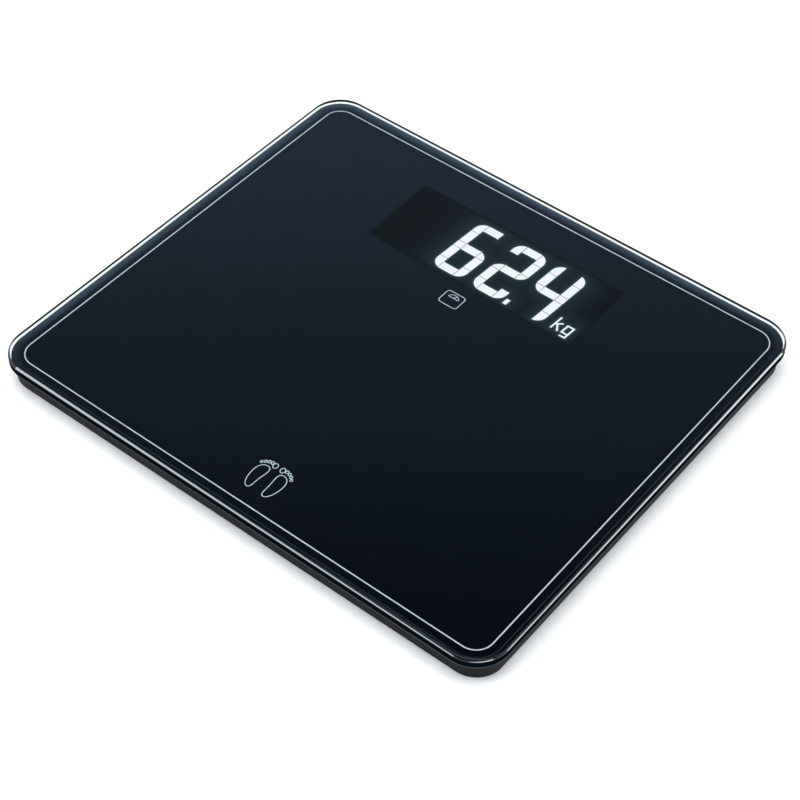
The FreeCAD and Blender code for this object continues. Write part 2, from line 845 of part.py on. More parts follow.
def make_battery(name, row, facing):
    can_length = "(battery_length - nub_length)"
    end = f"bay_x + {facing} * contact_face"
    can_start = f"{end} - {facing} * battery_length" if facing > 0 else f"{end} + nub_length"
    nub_start = f"{end} - nub_length" if facing > 0 else end
    can = lying_rod("Can", "battery_radius", can_length, (can_start, cell_y(row), "battery_level"))
    nub = lying_rod("Nub", "nub_radius", "nub_length", (nub_start, cell_y(row), "battery_level"))
    add_node(join("Battery", [can, nub]), "battery_" + name)


# A conical coil from the contact plate to the flat end of its cell, in short runs with round bends.
def spring_shape(row, facing):
    wire, base, tip = number("spring_wire"), number("spring_base"), number("spring_tip")
    gap = number("spring_gap")
    height = number("2 * contact_face - battery_length") - 2 * wire - 2 * gap
    count = round(number("spring_turns") * SPRING_STEPS)
    corners = []
    for step in range(count + 1):
        radius = base + (tip - base) * step / count
        turn = 2 * math.pi * step / SPRING_STEPS
        corners.append(FreeCAD.Vector(radius * math.cos(turn), radius * math.sin(turn), height * step / count))
    path, radii = bent_path(corners)
    ring = Part.makeCircle(wire, corners[0], corners[1] - corners[0])
    coil = path.makePipeShell([Part.Wire([ring])], True, False)
    report_wire("battery spring", path, radii[::SPRING_STEPS], math.pi * wire ** 2, coil)
    coil.rotate(FreeCAD.Vector(), FreeCAD.Vector(0, 1, 0), 90 * facing)
    start = number(f"bay_x - {facing} * contact_face") + facing * (wire + gap)
    coil.translate(FreeCAD.Vector(start, number(cell_y(row)), number("battery_level")))
    return coil


def make_contacts():
    springs = [spring_shape(row, facing) for row, facing in CELLS.values()]
    add_node(shaped("BatterySprings", Part.Compound(springs)), "battery_springs")
    plates = []
    low = "battery_level - contact_height / 2"
    inset = "(bay_length / 2 - contact_thick / 2)"
    bridge = "(battery_pitch + contact_width)"
    for side, alone in ((1, 1), (-1, -1)):
        x = f"bay_x + {side} * {inset}"
        plates.append(box("EndPlate", ("contact_thick", "contact_width", "contact_height"),
                          (x, cell_y(alone)), low))
        plates.append(box("BridgePlate", ("contact_thick", bridge, "contact_height"),
                          (x, f"bay_y - {alone} * battery_pitch / 2"), low))
    add_node(join("ContactPlates", plates), "battery_contact_plates")


def make_cover():
    body = new_body("CoverPlate")
    sketch = sketch_on(body, "XY_Plane", "stand_gap")
    draw_rounded(sketch, "cover_length", "cover_width", "cover_corner", "bay_x", "bay_y")
    pad(body, sketch, "cover_thick")
    grips = sketch_on(body, "XY_Plane", "stand_gap + grip_depth")
    for row in range(4):
        x = f"bay_x + cover_length / 2 - {row + 1.5} * grip_pitch"
        draw_rounded(grips, "grip_width", "grip_length", "grip_width / 2 - 0.01", x, "bay_y")
    pocket(body, grips, "grip_depth + 1")
    length = "(cover_clear + hook_reach + hook_root)"
    hooks = [box("Hook", (length, "hook_width", "hook_thick"),
                 (f"hinge_x - hook_reach + {length} / 2", f"bay_y + {side} * hook_offset"), "hook_bottom")
             for side in (-1, 1)]
    add_node(join("BatteryCover", [body, *hooks]), "battery_cover")


# A springy arm that stands on the cover; its nose reaches out over the tray's lip.
def make_latch():
    arm_x = "(bay_x + bay_length / 2 + latch_arm / 2 + latch_gap)"
    arm = box("LatchArm", ("latch_arm", "latch_width", "latch_rise"), (arm_x, "bay_y"),
              "stand_gap + cover_thick")
    length = "(seat_length / 2 + latch_reach - bay_length / 2 - latch_arm - latch_gap)"
    nose = box("LatchNose", (length, "latch_width", "latch_nose"),
               (f"{arm_x} + latch_arm / 2 + {length} / 2", "bay_y"), "stand_gap + cover_thick + latch_lift")
    add_node(join("CoverLatch", [arm, nose]), "battery_cover_latch")


# ---- button and boards ----

def make_button():
    cap = turned("unit_button", [
        ("0", "stand_gap + button_sink"),
        ("button_radius - 0.5", "stand_gap + button_sink"),
        ("button_radius", "stand_gap + button_sink + 0.5"),
        ("button_radius", "button_flange_bottom"),
        ("button_radius + button_flange", "button_flange_bottom"),
        ("button_radius + button_flange", "button_top"),
        ("0", "button_top"),
    ])
    add_node(place(cap, "button_x", "button_y"), "unit_button")
    plunger = rod("switch_plunger", "plunger_radius", "switch_bottom + plunger_in - button_top",
                  ("button_x", "button_y"), "button_top")
    add_node(plunger, "switch_plunger")
    case = box("SwitchCase", ("switch_side", "switch_side", "switch_height"),
               ("button_x", "button_y"), "switch_bottom")
    room = rod("SwitchRoom", "plunger_radius + plunger_clear", "switch_height - switch_wall",
               ("button_x", "button_y"), "switch_bottom")
    add_node(cut("TactSwitch", case, room), "tact_switch")


def make_main_board():
    body = new_body("main_board")
    sketch = sketch_on(body, "XY_Plane", "board_bottom")
    draw_rectangle(sketch, "board_width", "board_depth", "0", "board_y")
    draw_circles(sketch, "board_screw_radius + board_hole_clear", board_screw_spots())
    pad(body, sketch, "board_thick")
    add_node(body, "main_board")

    chip = doc.addObject("Part::Cone", "controller_chip")
    bind(chip, {"Radius1": "chip_radius", "Radius2": "chip_radius * chip_slope", "Height": "chip_height"})
    add_node(place(chip, "chip_x", "board_y + chip_back", "board_top"), "controller_chip")
    cans = [rod("Can", "can_radius", "can_height",
                (f"can_x + {i} * can_pitch", "board_y + can_back"), "board_top")
            for i in range(2)]
    add_node(join("Capacitors", cans), "capacitors")
    crystal = box("quartz_crystal", ("crystal_length", "crystal_width", "crystal_height"),
                  ("crystal_x", "board_y + crystal_back"), "board_top")
    add_node(crystal, "quartz_crystal")


def make_plugs():
    plugs = []
    for side_x, side_y in CORNERS.values():
        plugs.append(box("SensorPlug", ("plug_depth", "plug_width", "plug_height"),
                         (f"{side_x} * (board_width / 2 - plug_depth / 2)",
                          f"board_y + {side_y} * plug_pitch / 2"), "board_top"))
    for side in (-1, 1):
        plugs.append(box("PowerPlug", ("power_plug_width", "plug_depth", "plug_height"),
                         (f"{side} * power_plug_pitch / 2", "board_y - board_depth / 2 + plug_depth / 2"),
                         "board_top"))
    add_node(join("BoardPlugs", plugs), "board_plugs")
    near = box("RibbonPlug", ("ribbon_plug_width", "ribbon_plug_depth", "ribbon_plug_height"),
               ("0", "ribbon_start - ribbon_plug_depth / 2"), "board_top")
    far = box("RibbonPlug", ("ribbon_plug_width", "ribbon_plug_depth", "ribbon_plug_height"),
              ("0", "ribbon_end + ribbon_plug_depth / 2"), "display_top")
    add_node(join("RibbonPlugs", [near, far]), "ribbon_plugs")


# ---- display ----

# The marks lean to the right. Their outlines are given upright, from the digit's lower left corner.
def leaning(points, height):
    lean = math.tan(math.radians(number("digit_slant")))
    corners = [FreeCAD.Vector(x + y * lean, y, 0) for x, y in points]
    return Part.Face(Part.makePolygon(corners + corners[:1])).extrude(FreeCAD.Vector(0, 0, height))


def leaning_block(left, low, right, high, height):
    return leaning([(left, low), (right, low), (right, high), (left, high)], height)


def rounded_block(left, low, right, high, height, corner):
    block = leaning_block(left, low, right, high, height)
    upright = [edge for edge in block.Edges if abs(edge.tangentAt(edge.FirstParameter).z) > 0.9]
    return block.makeFillet(corner, upright)


def digit_ring(low, high, grow, height):
    wide, stroke = number("digit_width"), number("stroke")
    outer = rounded_block(-grow, low - grow, wide + grow, high + grow, height,
                          number("digit_corner") + grow)
    inner = rounded_block(stroke + grow, low + stroke + grow, wide - stroke - grow,
                          high - stroke - grow, height, number("digit_inner"))
    return outer.cut(inner)


# The joints at the ends of the middle bar follow the ring of the lit upright beside them. Where
# both uprights are lit, or both dark, they stay square.
def joint_ring(lit, end):
    upper, lower = "upper_" + end in lit, "lower_" + end in lit
    if upper == lower:
        return "square"
    return "upper" if upper else "lower"


# A digit is two rounded rings, one over the other, that share the middle bar. Each segment is a
# stretch of one ring: (ring, left, low, right, high). A corner of a ring is a segment of its own.
def digit_segments(lit, grow, height):
    wide, tall, reach = number("digit_width"), number("digit_height"), number("corner_reach")
    stroke = number("stroke")
    middle = (tall - stroke) / 2
    out = number("side_cut")
    far, bar_top, top = wide - stroke, middle + stroke, tall - reach
    rings = {
        "upper": digit_ring(middle, tall, grow, height),
        "lower": digit_ring(0, bar_top, grow, height),
        "square": leaning_block(-grow, -grow, wide + grow, tall + grow, height),
    }
    spans = {
        "top_left": ("upper", -out, top, stroke, tall + out),
        "top": ("upper", stroke, top, far, tall + out),
        "top_right": ("upper", far, top, wide + out, tall + out),
        "upper_left": ("upper", -out, bar_top, stroke, top),
        "upper_right": ("upper", far, bar_top, wide + out, top),
        "joint_left": (joint_ring(lit, "left"), -out, middle, stroke, bar_top),
        "middle": ("upper", stroke, middle - out, far, bar_top + out),
        "joint_right": (joint_ring(lit, "right"), far, middle, wide + out, bar_top),
        "lower_left": ("lower", -out, reach, stroke, middle),
        "lower_right": ("lower", far, reach, wide + out, middle),
        "bottom_left": ("lower", -out, -out, stroke, reach),
        "bottom": ("lower", stroke, -out, far, reach),
        "bottom_right": ("lower", far, -out, wide + out, reach),
    }
    inset = number("segment_gap") / 2 - grow
    segments = {}
    for name, (ring, left, low, right, high) in spans.items():
        cell = leaning_block(left + inset, low + inset, right - inset, high - inset, height)
        segments[name] = rings[ring].common(cell)
    return segments


# The reading is 62.4; the first place stays dark.
LIT = {
    1: ("top_left", "top", "upper_left", "joint_left", "middle", "joint_right", "lower_left",
        "lower_right", "bottom_left", "bottom", "bottom_right"),
    2: ("top_left", "top", "top_right", "upper_right", "joint_left", "middle", "joint_right",
        "lower_left", "bottom_left", "bottom", "bottom_right"),
    3: ("top_left", "top_right", "upper_left", "upper_right", "joint_left", "middle", "joint_right",
        "lower_right", "bottom_right"),
}


def bar(start, end, width, height):
    run = math.hypot(end[0] - start[0], end[1] - start[1])
    side_x = -(end[1] - start[1]) / run * width / 2
    side_y = (end[0] - start[0]) / run * width / 2
    return leaning([(start[0] - side_x, start[1] - side_y), (end[0] - side_x, end[1] - side_y),
                    (end[0] + side_x, end[1] + side_y), (start[0] + side_x, start[1] + side_y)], height)


# The unit sign is drawn with straight bars of one width: a k, and a g whose tail hooks to the left.
def unit_letters(grow, height):
    width = number("unit_stroke") + 2 * grow
    half = number("unit_stroke") / 2
    tall, wide = number("unit_height"), number("unit_width")
    waist = 0.36 * tall
    left = wide + number("unit_gap")
    right, top, low, tail = left + wide, 0.72 * tall, 0.05 * tall, -0.22 * tall
    letter_k = [
        ((half, -grow), (half, tall + grow)),
        ((half, waist), (wide * 0.85, tall * 0.66)),
        ((wide * 0.32, waist + 0.12 * tall), (wide * 0.95, 0)),
    ]
    letter_g = [
        ((left + half, low), (left + half, top)),
        ((left, top - half), (right, top - half)),
        ((left, low + half), (right, low + half)),
        ((right - half, tail), (right - half, top)),
        ((left + 0.2 * wide, tail + half), (right, tail + half)),
    ]
    spots = ((half, 0.85 * tall), (left + half, 0.4 * tall))
    letters = []
    for strokes, spot in zip((letter_k, letter_g), spots):
        bars = [bar(start, end, width, height) for start, end in strokes]
        letters.append((bars[0].multiFuse(bars[1:]).removeSplitter(), spot))
    return letters


# Where each segment's chip sits, on the middle line of its stroke.
def chip_spots():
    wide, tall, side = number("digit_width"), number("digit_height"), number("stroke / 2")
    end = number("corner_reach - led_length")
    spots = {"top": (wide / 2, tall - side), "middle": (wide / 2, tall / 2), "bottom": (wide / 2, side)}
    for name, x in (("left", side), ("right", wide - side)):
        spots["top_" + name] = (x, tall - end)
        spots["upper_" + name] = (x, 0.65 * tall)
        spots["joint_" + name] = (x, tall / 2)
        spots["lower_" + name] = (x, 0.35 * tall)
        spots["bottom_" + name] = (x, end)
    return spots


# All marks, grown sideways by the given clearance: (is it lit, its solid, its chip's place).
def display_marks(grow, bottom, height):
    spots = chip_spots()
    base = number("window_y - window_depth / 2 + digit_base")
    point_left = number("digit_width + point_gap")
    point_wide, point_tall = number("point_width"), number("point_height")
    point = leaning_block(point_left - grow, -grow, point_left + point_wide + grow, point_tall + grow, height)
    marks = []
    for digit_place in range(4):
        left = number(f"digit_left + {digit_place} * digit_pitch")
        lit_names = LIT.get(digit_place, ())
        for name, shape in digit_segments(lit_names, grow, height).items():
            marks.append(set_mark(name in lit_names, shape, spots[name], left, base, bottom))
        if digit_place in (1, 2):
            spot = (point_left + point_wide / 2, point_tall / 2)
            marks.append(set_mark(digit_place == 2, point, spot, left, base, bottom))
    for letter, spot in unit_letters(grow, height):
        marks.append(set_mark(True, letter, spot, number("unit_left"), base + number("unit_base"), bottom))
    return marks


def set_mark(lit, shape, spot, x, y, z):
    solid = shape.Solids[0].copy()
    solid.translate(FreeCAD.Vector(x, y, z))
    lean = math.tan(math.radians(number("digit_slant")))
    return lit, solid, (x + spot[0] + spot[1] * lean, y + spot[1])


def make_display():
    grow, top = number("lens_clear"), number("reflector_top")
    lenses = display_marks(0.0, top - number("lens_thick"), number("lens_thick"))
    for name, wanted in (("lit_segment_lenses", True), ("dark_segment_lenses", False)):
        group = Part.Compound([solid for lit, solid, _ in lenses if lit is wanted])
        add_node(shaped(name, group), name)

    block = Part.makeBox(number("reflector_width"), number("reflector_depth"), number("reflector_height"),
                         FreeCAD.Vector(-number("reflector_width") / 2,
                                        number("window_y - reflector_depth / 2"), number("display_top")))
    wells = display_marks(grow, number("display_top") - 1, number("reflector_height") + 2)
    add_node(shaped("display_reflector", block.cut([well for _, well, _ in wells])), "display_reflector")

    chips = [led_chip(spot) for _, _, spot in lenses]
    add_node(shaped("display_leds", Part.Compound(chips)), "display_leds")

    body = new_body("display_board")
    sketch = sketch_on(body, "XY_Plane", "display_bottom")
    draw_rectangle(sketch, "display_width", "display_depth", "0", "display_y")
    draw_circles(sketch, "board_screw_radius + board_hole_clear", display_screw_spots())
    pad(body, sketch, "board_thick")
    add_node(body, "display_board")

    gasket = new_body("display_gasket")
    sketch = sketch_on(gasket, "XY_Plane", "reflector_top")
    draw_rectangle(sketch, "reflector_width", "reflector_depth", "0", "window_y")
    draw_rectangle(sketch, "reflector_width - 2 * gasket_width", "reflector_depth - 2 * gasket_width",
                   "0", "window_y")
    pad(gasket, sketch, "gasket_thick")
    add_node(gasket, "display_gasket")


def led_chip(spot):
    wide, long = number("led_width"), number("led_length")
    corner = FreeCAD.Vector(spot[0] - wide / 2, spot[1] - long / 2, number("display_top"))
    return Part.makeBox(wide, long, number("led_height"), corner)


# ---- wires ----

# A route is a list of points. Each bend is an arc that touches both of its runs, as large as they allow.
def bent_path(points):
    runs = [b - a for a, b in zip(points, points[1:])]
    edges, last, radii = [], points[0], []
    for corner, before, after in zip(points[1:], runs, runs[1:]):
        turn = before.getAngle(after)
        back = 0.45 * min(before.Length, after.Length)
        radii.append(back / math.tan(turn / 2))
        enter = corner - before.normalize() * back
        leave = corner + FreeCAD.Vector(after).normalize() * back
        inward = ((enter + leave) * 0.5 - corner).normalize()
        middle = corner + inward * (math.hypot(radii[-1], back) - radii[-1])
        edges += [Part.LineSegment(last, enter).toShape(), Part.Arc(enter, middle, leave).toShape()]
        last = leave
    edges.append(Part.LineSegment(last, points[-1]).toShape())
    return Part.Wire(edges), radii


def report_wire(name, path, radii, section, solid):
    share = solid.Volume / (section * path.Length)
    print(f"{name}: {path.Length:.1f} mm long, bends {', '.join(f'{r:.1f}' for r in radii)} mm, "
          f"volume / (section x length) {share:.4f}")
    if abs(share - 1) > 0.01:
        raise RuntimeError(name + " is not a plain tube")


def wire_node(name, points, radius):
    path, radii = bent_path(points)
    towards = points[1] - points[0]
    section = Part.Wire([Part.makeCircle(radius, points[0], towards)])
    tube = path.makePipeShell([section], True, False)
    report_wire(name, path, radii, math.pi * radius ** 2, tube)
    add_node(shaped(name, tube), name)
    return path


# A sensor cable runs from its holder to its plug. Each point is (share of the way across,
# share of the way along), so the route stretches with the scale.
ROUTES = {
    "front": [(0, 0), (0, 0.24), (0.26, 0.41), (0.43, 0.7), (0.67, 0.87), (0.83, 1), (1, 1)],
    "rear": [(0, 0), (0, 0.41), (0.22, 0.83), (0.5, 1.07), (0.76, 1.11), (0.88, 1), (1, 1)],
}


def cable_points(side_x, side_y):
    start_x, start_y = number("foot_x"), number(f"{side_y} * (foot_y - holder_side / 2)")
    plug_x, plug_y = number("board_width / 2"), number(f"board_y + {side_y} * plug_pitch / 2")
    return [FreeCAD.Vector(side_x * (start_x + (plug_x - start_x) * across),
                           start_y + (plug_y - start_y) * along, number("wire_level"))
            for across, along in ROUTES["rear" if side_y > 0 else "front"]]


# A clip stands on the tray's floor around the middle of one run.
def clip_shape(start, end):
    middle = (start + end) * 0.5
    floor, top = number("floor_top"), number("wire_level + cable_radius + clip_over")
    thick, wide = number("clip_thick"), number("clip_width")
    block = Part.makeBox(thick, wide, top - floor, FreeCAD.Vector(-thick / 2, -wide / 2, 0))
    bore = Part.makeCylinder(number("cable_radius + cable_clear"), thick + 2,
                             FreeCAD.Vector(-thick / 2 - 1, 0, middle.z - floor), FreeCAD.Vector(1, 0, 0))
    clip = block.cut(bore)
    run = end - start
    clip.rotate(FreeCAD.Vector(), FreeCAD.Vector(0, 0, 1), math.degrees(math.atan2(run.y, run.x)))
    clip.translate(FreeCAD.Vector(middle.x, middle.y, floor))
    return clip


def make_sensor_cables():
    clips = []
    for corner, (side_x, side_y) in CORNERS.items():
        points = cable_points(side_x, side_y)
        wire_node("sensor_cable_" + corner, points, number("cable_radius"))
        clips += [clip_shape(points[1], points[2]), clip_shape(points[3], points[4])]
    add_node(shaped("WireClips", Part.Compound(clips)), "wire_clips")


# The leads leave the bay's end walls beside the first and the last contact.
def make_battery_leads():
    level = number("wire_level")
    wall = number("bay_length / 2 + bay_wall")
    plug_x = number("power_plug_pitch / 2")
    plug_y = number("board_y - board_depth / 2")
    rear, front = number(cell_y(1)), number(cell_y(-1))
    right = number("bay_x") + wall
    left = number("bay_x") - wall
    red = [(right, rear), (right + 9.5, rear), (right + 10.5, rear + 9.8),
           (plug_x + 4, plug_y - 8.5), (plug_x, plug_y - 5), (plug_x, plug_y)]
    black = [(left, front), (left - 9, front), (left - 16, front + 13),
             (left - 13, front + 29), (-plug_x, plug_y - 9), (-plug_x, plug_y)]
    for name, spots in (("battery_lead_red", red), ("battery_lead_black", black)):
        wire_node(name, [FreeCAD.Vector(x, y, level) for x, y in spots], number("lead_radius"))


def make_ribbon():
    thick, wide = number("ribbon_thick"), number("ribbon_width")
    start, end = number("ribbon_start"), number("ribbon_end")
    low = number("board_top + ribbon_plug_height / 2")
    high = number("display_top + ribbon_plug_height / 2")
    reach = end - start
    hump = low + number("ribbon_hump")
    spots = [(start, low), (start + 0.25 * reach, low), (start + 0.48 * reach, hump),
             (start + 0.74 * reach, high), (end, high)]
    path, radii = bent_path([FreeCAD.Vector(0, y, z) for y, z in spots])
    corners = [FreeCAD.Vector(x * wide / 2, start, low + z * thick / 2)
               for x, z in ((-1, -1), (1, -1), (1, 1), (-1, 1), (-1, -1))]
    strip = path.makePipeShell([Part.makePolygon(corners)], True, False)
    report_wire("display_ribbon", path, radii, thick * wide, strip)
    add_node(shaped("display_ribbon", strip), "display_ribbon")


# ---- whole scale ----

def check_document():
    doc.recompute()
    for thing in doc.Objects:
        if "Invalid" in thing.State or "Error" in thing.State:
            raise RuntimeError(f"{thing.Label} is {thing.State}")
        if thing.TypeId == "PartDesign::Pocket" and thing.Shape.Volume > thing.BaseFeature.Shape.Volume - 1e-3:
            raise RuntimeError(f"{thing.Label} cuts nothing")
    for thing in nodes:
        if thing.Shape.isNull() or not thing.Shape.isValid():
            raise RuntimeError(f"{thing.Label} has no valid shape")


def export_nodes():
    os.makedirs("parts", exist_ok=True)
    for thing in nodes:
        thing.Shape.exportStep(f"parts/{thing.Label}.step")
    print(len(nodes), "parts written")


fill_sheet()
make_glass()
make_prints()
make_tape()
make_tray()
for corner_name in CORNERS:
    make_corner(corner_name)
make_screws()
for cell_name, (cell_row, cell_facing) in CELLS.items():
    make_battery(cell_name, cell_row, cell_facing)
make_contacts()
make_cover()
make_latch()
make_button()
make_main_board()
make_plugs()
make_display()
make_sensor_cables()
make_battery_leads()
make_ribbon()
check_document()
export_nodes()
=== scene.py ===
import json
import math
import bpy
import numpy as np
from mathutils import Matrix, Vector


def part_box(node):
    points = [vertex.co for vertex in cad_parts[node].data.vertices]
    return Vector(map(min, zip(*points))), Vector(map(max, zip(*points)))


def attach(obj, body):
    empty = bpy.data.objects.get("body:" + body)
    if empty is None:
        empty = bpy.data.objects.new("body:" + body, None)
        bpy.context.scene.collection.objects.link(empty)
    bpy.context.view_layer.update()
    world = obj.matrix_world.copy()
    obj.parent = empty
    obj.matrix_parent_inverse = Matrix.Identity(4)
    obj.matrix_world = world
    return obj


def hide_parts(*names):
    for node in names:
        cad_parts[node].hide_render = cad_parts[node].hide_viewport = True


# A glass bathroom scale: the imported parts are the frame, and this dresses them.
# Metres, +Z up, the reader stands at -Y, the display is at +Y.

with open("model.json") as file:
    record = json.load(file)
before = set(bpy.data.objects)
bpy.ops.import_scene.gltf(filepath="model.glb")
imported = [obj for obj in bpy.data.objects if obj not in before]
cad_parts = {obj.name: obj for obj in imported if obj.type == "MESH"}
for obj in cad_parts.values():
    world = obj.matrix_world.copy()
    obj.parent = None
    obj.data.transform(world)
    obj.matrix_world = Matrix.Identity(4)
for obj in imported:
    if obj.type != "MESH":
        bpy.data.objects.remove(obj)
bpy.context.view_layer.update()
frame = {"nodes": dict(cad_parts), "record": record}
mm = 0.001
print("frame loaded:", len(frame["nodes"]), "nodes")


# One number that changes over a surface: arithmetic on it adds Math nodes.
class Flow:
    def __init__(self, paint, socket):
        self.paint, self.socket = paint, socket

    def __add__(self, other):
        return self.paint.maths("ADD", self, other)

    def __radd__(self, other):
        return self.paint.maths("ADD", other, self)

    def __sub__(self, other):
        return self.paint.maths("SUBTRACT", self, other)

    def __rsub__(self, other):
        return self.paint.maths("SUBTRACT", other, self)

    def __mul__(self, other):
        return self.paint.maths("MULTIPLY", self, other)

    def __rmul__(self, other):
        return self.paint.maths("MULTIPLY", other, self)

    def __truediv__(self, other):
        return self.paint.maths("DIVIDE", self, other)

    def __rtruediv__(self, other):
        return self.paint.maths("DIVIDE", other, self)


# One material while it is being made, with the nodes' own coordinates at hand.
class Paint:
    def __init__(self, name):
        self.material = bpy.data.materials.new(name)
        self.material.use_nodes = True
        self.tree = self.material.node_tree
        self.tree.nodes.clear()
        self.spot = self.node("TexCoord").outputs["Object"]
        split = self.node("SeparateXYZ", {}, {0: self.spot})
        self.x, self.y, self.z = (Flow(self, split.outputs[i]) for i in range(3))

    def node(self, kind, settings=None, sockets=None):
        made = self.tree.nodes.new("ShaderNode" + kind)
        for key, value in (settings or {}).items():
            if key == "stops":
                setStops(made.color_ramp, value)
            else:
                setattr(made, key, value)
        for key, value in (sockets or {}).items():
            if isinstance(value, Flow):
                value = value.socket
            if isinstance(value, bpy.types.NodeSocket):
                self.tree.links.new(value, made.inputs[key])
            else:
                made.inputs[key].default_value = value
        return made

    def maths(self, operation, *values):
        made = self.node("Math", {"operation": operation}, dict(enumerate(values)))
        return Flow(self, made.outputs[0])

    def step(self, value, low, high):      # 0 below low, 1 above high, smooth between
        made = self.node("MapRange", {"interpolation_type": "SMOOTHSTEP"},
                         {"Value": value, "From Min": low, "From Max": high})
        return Flow(self, made.outputs["Result"])

    def noise(self, scale, detail=3.0, stretch=(1, 1, 1)):
        place = self.node("Mapping", {}, {"Vector": self.spot, "Scale": stretch}).outputs[0]
        made = self.node("TexNoise", {}, {"Vector": place, "Scale": scale, "Detail": detail})
        return Flow(self, made.outputs["Fac"])

    def blend(self, share, first, second):     # colours only
        made = self.node("Mix", {"data_type": "RGBA"}, {0: share, 6: asColour(first), 7: asColour(second)})
        return made.outputs[2]

    def bump(self, height, distance, strength):
        sockets = {"Height": height, "Distance": distance, "Strength": strength}
        return self.node("Bump", {}, sockets).outputs[0]

    def surface(self, sockets):
        return self.node("BsdfPrincipled", {}, sockets).outputs[0]

    def finish(self, shader):
        self.node("OutputMaterial", {}, {"Surface": shader})
        return self.material


def setStops(ramp, stops):
    for place, colour in stops[2:]:
        ramp.elements.new(place)
    for element, (place, colour) in zip(ramp.elements, stops):
        element.position = place
        element.color = (*colour, 1)


def asColour(value):
    return (*value, 1) if isinstance(value, tuple) and len(value) == 3 else value


# How far a point lies inside a rounded rectangle: its distance to the outline, measured inwards.
def insetField(paint, width, depth, corner):
    overX = paint.maths("ABSOLUTE", paint.x) - (width / 2 - corner)
    overY = paint.maths("ABSOLUTE", paint.y) - (depth / 2 - corner)
    outX, outY = paint.maths("MAXIMUM", overX, 0.0), paint.maths("MAXIMUM", overY, 0.0)
    reach = paint.maths("SQRT", outX * outX + outY * outY)
    return corner - reach - paint.maths("MINIMUM", paint.maths("MAXIMUM", overX, overY), 0.0)


def newPiece(name, points, faces, body, material, smoothAngle=30):
    mesh = bpy.data.meshes.new(name)
    mesh.from_pydata(np.asarray(points, float).reshape(-1, 3).tolist(), [], faces)
    mesh.validate()
    mesh.shade_smooth()
    mesh.set_sharp_from_angle(angle=math.radians(smoothAngle))
    piece = bpy.data.objects.new(name, mesh)
    bpy.context.scene.collection.objects.link(piece)
    mesh.materials.append(material)
    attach(piece, body)
    return piece


# A rounded rectangle as one closed ring: four quarter circles, joined by straight sides.
def roundedRing(width, depth, corner, steps):
    turn = np.linspace(0, math.pi / 2, steps)
    quarters = []
    for i, (signX, signY) in enumerate(((1, 1), (-1, 1), (-1, -1), (1, -1))):
        centre = np.array([signX * (width / 2 - corner), signY * (depth / 2 - corner)])
        angle = turn + i * math.pi / 2
        quarters.append(centre + corner * np.stack([np.cos(angle), np.sin(angle)], 1))
    return np.concatenate(quarters)


# Quads between neighbouring rings of a (rings x steps) grid that is closed round each ring.
def ringFaces(rings, steps):
    i, j = np.meshgrid(np.arange(rings - 1), np.arange(steps), indexing="ij")
    after = (j + 1) % steps
    quads = np.stack([i * steps + j, i * steps + after, (i + 1) * steps + after, (i + 1) * steps + j], -1)
    return quads.reshape(-1, 4).tolist()


# A rounded slab: the profile gives (inset from the outline, height) from its bottom to its top.
def slab(width, depth, corner, profile, steps=32):
    rings = [np.c_[roundedRing(width - 2 * inset, depth - 2 * inset, corner - inset, steps),
                   np.full(4 * steps, height)] for inset, height in profile]
    count = 4 * steps
    faces = ringFaces(len(rings), count)
    last = (len(rings) - 1) * count
    faces += [list(range(count))[::-1], list(range(last, last + count))]
    return np.concatenate(rings), faces


cameraSettings = {
    "place": (0.47947, -0.62986, 0.84260),
    "azimuth": 37.218,          # degrees round from -Y towards +X
    "elevation": 47.634,
    "roll": 1.610,
    "lens": 89.116,
}


def makeCamera(settings):
    azimuth, elevation = math.radians(settings["azimuth"]), math.radians(settings["elevation"])
    back = Vector((math.sin(azimuth) * math.cos(elevation), -math.cos(azimuth) * math.cos(elevation),
                   math.sin(elevation)))
    level = Vector((0, 0, 1)).cross(back).normalized()
    right = Matrix.Rotation(math.radians(settings["roll"]), 3, back) @ level
    data = bpy.data.cameras.new("camera")
    data.lens = settings["lens"]
    data.sensor_width = 36
    data.clip_start, data.clip_end = 0.01, 50
    camera = bpy.data.objects.new("camera", data)
    bpy.context.scene.collection.objects.link(camera)
    turn = Matrix((right, back.cross(right), back)).transposed().to_4x4()
    camera.matrix_world = Matrix.Translation(settings["place"]) @ turn
    bpy.context.scene.camera = camera


makeCamera(cameraSettings)
print("camera made")


glassSettings = {
    "bevel": 1.2 * mm,
    "arris": 0.2 * mm,
    "soft": 0.08 * mm,          # how much the ground edges are rounded over
    "corner": 21 * mm,
    "ior": 1.52,
    "tint": (0.95, 0.985, 0.99),
    "shadowTint": (0.88, 0.93, 0.92),   # what the lamps' light keeps on its way through
    "sideTint": (0.0012, 0.0030, 0.0045),
    "paintedArrisHighlightHeight": 0.5 * mm,        # painted highlight: the foot of the side is painted lighter, as the ground edge catching light
    "paintedArrisHighlight": (0.13, 0.145, 0.16),
    # the navy end of the print's long gradient is partly the print's colour, partly painted reflection
    "printNavyAndReflection": (0.0052, 0.0085, 0.0150),
    "printDeep": (0.0008, 0.0012, 0.0024),
    "reflectionFadeLean": 0.75,
    "reflectionFadeLength": 0.36,         # metres
    "reflectionFadeEnds": (-0.75, 0.95),
}
glassLow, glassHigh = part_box("glass_top")
windowLow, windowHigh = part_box("smoked_window")
glassWidth, glassDepth = glassHigh.x - glassLow.x, glassHigh.y - glassLow.y


def glassProfile(s):
    soft, low, high = s["soft"], glassLow.z, glassHigh.z
    lean = soft * math.sqrt(0.5)
    return [
        (s["arris"] + soft, low), (s["arris"] - lean, low + lean),
        (lean, low + s["arris"] - lean), (0, low + s["arris"] + soft),
        (0, high - s["bevel"] - soft), (soft * 0.3, high - s["bevel"] - soft * 0.3),
        (lean, high - s["bevel"] + lean), (s["bevel"] - lean, high - lean),
        (s["bevel"] + soft * 0.3, high - soft * 0.15), (s["bevel"] + soft, high),
        (s["bevel"] + 1.6 * soft, high),
    ]
